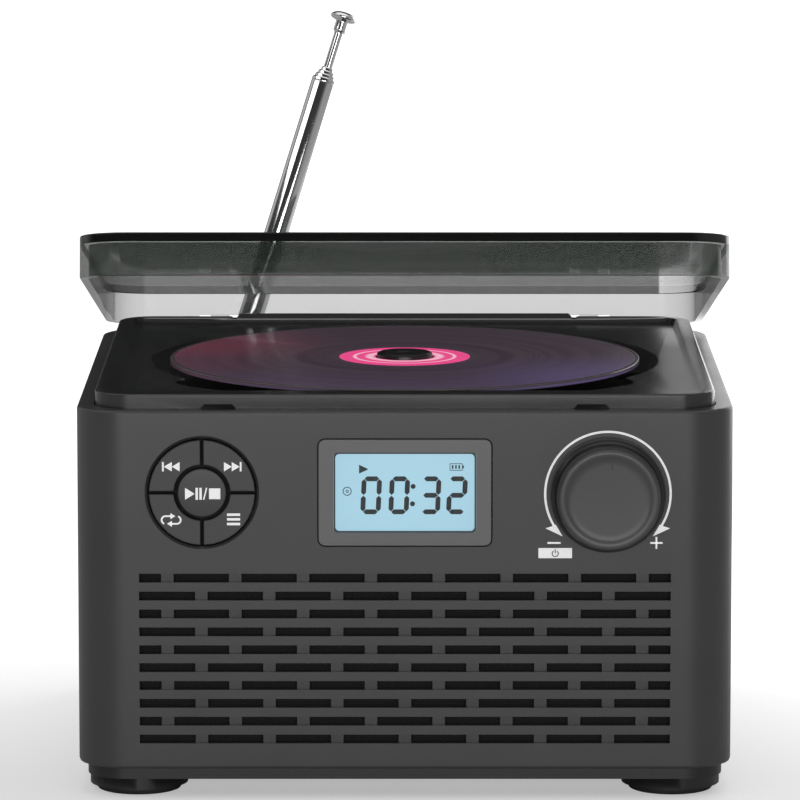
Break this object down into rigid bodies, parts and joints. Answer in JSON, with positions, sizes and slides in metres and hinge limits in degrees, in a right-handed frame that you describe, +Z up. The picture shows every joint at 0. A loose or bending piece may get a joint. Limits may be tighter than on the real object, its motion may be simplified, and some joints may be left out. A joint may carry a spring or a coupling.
{
  "type": "portable cd player",
  "caption": "Portable disc player with front speaker grille, display, button ring, volume knob, hinged smoked lid and telescopic antenna.",
  "frame": {"origin": "on the table, under the middle of the whole object's box", "axes": "+Z up, the speaker grille faces -Y, +X to the right as seen from the front"},
  "size_m": [0.161, 0.1988, 0.1792],
  "materials": {
    "body_plastic": "fine satin moulded texture",
    "deck_plastic": "smooth, nearly glossy",
    "black_plastic": "matte",
    "smoked_lid": "smoked clear plastic, polished",
    "bezel_grey": "satin",
    "window_clear": "clear plastic window",
    "display_blue": "lit liquid-crystal panel",
    "white_plastic": "satin",
    "knob_plastic": "satin",
    "rubber": "matte",
    "cloth": "woven",
    "paper_cone": "pressed paper",
    "steel": "plated",
    "chrome": "polished",
    "board_green": "solder mask",
    "disc_foil": "mirror foil under clear plastic",
    "lens_glass": "coated lens",
    "battery_wrap": "shrink wrap",
    "brass": "turned"
  },
  "bodies": {
    "case": {"main_shell": "body_plastic", "top_deck": "deck_plastic", "base_plate": "black_plastic", "rear_panel": "body_plastic", "rear_screw_1": "steel", "rear_screw_2": "steel", "rear_screw_3": "steel", "rear_screw_4": "steel", "foot_pad_front_left": "rubber", "foot_pad_front_right": "rubber", "foot_pad_back_left": "rubber", "foot_pad_back_right": "rubber", "display_bezel": "bezel_grey", "display_window": "window_clear", "lcd_panel": "display_blue", "backlight_plate": "white_plastic", "key_pad": "rubber", "control_board": "board_green", "volume_pot": "steel", "speaker_cloth": "cloth", "speaker_frame_left": "black_plastic", "speaker_frame_right": "black_plastic", "speaker_cone_left": "paper_cone", "speaker_cone_right": "paper_cone", "speaker_magnet_left": "steel", "speaker_magnet_right": "steel", "mech_chassis": "black_plastic", "spindle_motor": "steel", "guide_rod_front": "steel", "guide_rod_back": "steel", "sled_motor": "steel", "main_board": "board_green", "lid_switch": "black_plastic", "battery_pack": "battery_wrap", "charge_port": "steel", "headphone_jack": "black_plastic", "hinge_pin_left": "steel", "hinge_pin_right": "steel"},
    "lid": {"lid": "smoked_lid"},
    "antenna_turret": {"antenna_base": "black_plastic", "antenna_pin": "steel"},
    "antenna_mast": {"antenna_knuckle": "chrome", "antenna_tube_1": "chrome"},
    "antenna_section_2": {"antenna_tube_2": "chrome"},
    "antenna_section_3": {"antenna_tube_3": "chrome"},
    "antenna_section_4": {"antenna_tube_4": "chrome"},
    "antenna_tip": {"antenna_rod": "chrome"},
    "volume_control": {"volume_knob": "knob_plastic", "pot_shaft": "brass"},
    "previous_key": {"previous_button": "body_plastic"},
    "next_key": {"next_button": "body_plastic"},
    "repeat_key": {"repeat_button": "body_plastic"},
    "mode_key": {"mode_button": "body_plastic"},
    "play_key": {"play_button": "body_plastic"},
    "turntable": {"spindle_hub": "black_plastic"},
    "loose_disc": {"disc": "disc_foil"},
    "pickup": {"pickup_sled": "black_plastic", "pickup_lens": "lens_glass"},
    "pinion": {"sled_pinion": "white_plastic"}
  },
  "joints": [
    {"name": "lid_hinge", "type": "hinge", "parent": "case", "child": "lid", "pos_m": [0, 0.06464, 0.0968], "axis": [-1, 0, 0], "range_deg": [-12, 48]},
    {"name": "antenna_swivel", "type": "hinge", "parent": "case", "child": "antenna_turret", "pos_m": [-0.0475, 0.07394, 0.079], "axis": [0, 1, 0], "range_deg": [-107.5, 72.5]},
    {"name": "antenna_tilt", "type": "hinge", "parent": "antenna_turret", "child": "antenna_mast", "pos_m": [-0.0475, 0.07394, 0.079], "axis": [-0.9537, 0, 0.3007], "range_deg": [-12, 78]},
    {"name": "antenna_slide_2", "type": "slide", "parent": "antenna_mast", "child": "antenna_section_2", "axis": [0.2941, 0.2079, 0.9329], "range_m": [0, 0.055]},
    {"name": "antenna_slide_3", "type": "slide", "parent": "antenna_section_2", "child": "antenna_section_3", "axis": [0.2941, 0.2079, 0.9329], "range_m": [0, 0.055]},
    {"name": "antenna_slide_4", "type": "slide", "parent": "antenna_section_3", "child": "antenna_section_4", "axis": [0.2941, 0.2079, 0.9329], "range_m": [0, 0.055]},
    {"name": "antenna_rod_slide", "type": "slide", "parent": "antenna_section_4", "child": "antenna_tip", "axis": [0.2941, 0.2079, 0.9329], "range_m": [-0.0098, 0.045]},
    {"name": "volume_turn", "type": "hinge", "parent": "case", "child": "volume_control", "pos_m": [0.0495, -0.08906, 0.0758], "axis": [0, 1, 0], "range_deg": [-145, 135]},
    {"name": "previous_press", "type": "slide", "parent": "case", "child": "previous_key", "axis": [0, 1, 0], "range_m": [0, 0.0006], "stiffness_N_per_m": 250},
    {"name": "next_press", "type": "slide", "parent": "case", "child": "next_key", "axis": [0, 1, 0], "range_m": [0, 0.0006], "stiffness_N_per_m": 250},
    {"name": "repeat_press", "type": "slide", "parent": "case", "child": "repeat_key", "axis": [0, 1, 0], "range_m": [0, 0.0006], "stiffness_N_per_m": 250},
    {"name": "mode_press", "type": "slide", "parent": "case", "child": "mode_key", "axis": [0, 1, 0], "range_m": [0, 0.0006], "stiffness_N_per_m": 250},
    {"name": "play_press", "type": "slide", "parent": "case", "child": "play_key", "axis": [0, 1, 0], "range_m": [0, 0.0006], "stiffness_N_per_m": 250},
    {"name": "disc_spin", "type": "hinge", "parent": "case", "child": "turntable", "pos_m": [0, -0.01256, 0.1004], "axis": [0, 0, 1], "continuous": true},
    {"name": "disc_lift", "type": "slide", "parent": "turntable", "child": "loose_disc", "axis": [0, 0, 1], "range_m": [0, 0.008]},
    {"name": "pickup_travel", "type": "slide", "parent": "case", "child": "pickup", "axis": [1, 0, 0], "range_m": [0, 0.033]},
    {"name": "pinion_turn", "type": "hinge", "parent": "case", "child": "pinion", "pos_m": [0.0255, -0.03586, 0.0865], "axis": [0, 0, 1], "range_deg": [-400, 10]}
  ],
  "couplings": [
    {"joint": "pinion_turn", "follows": "pickup_travel", "rad_per_m": -208.33}
  ]
}
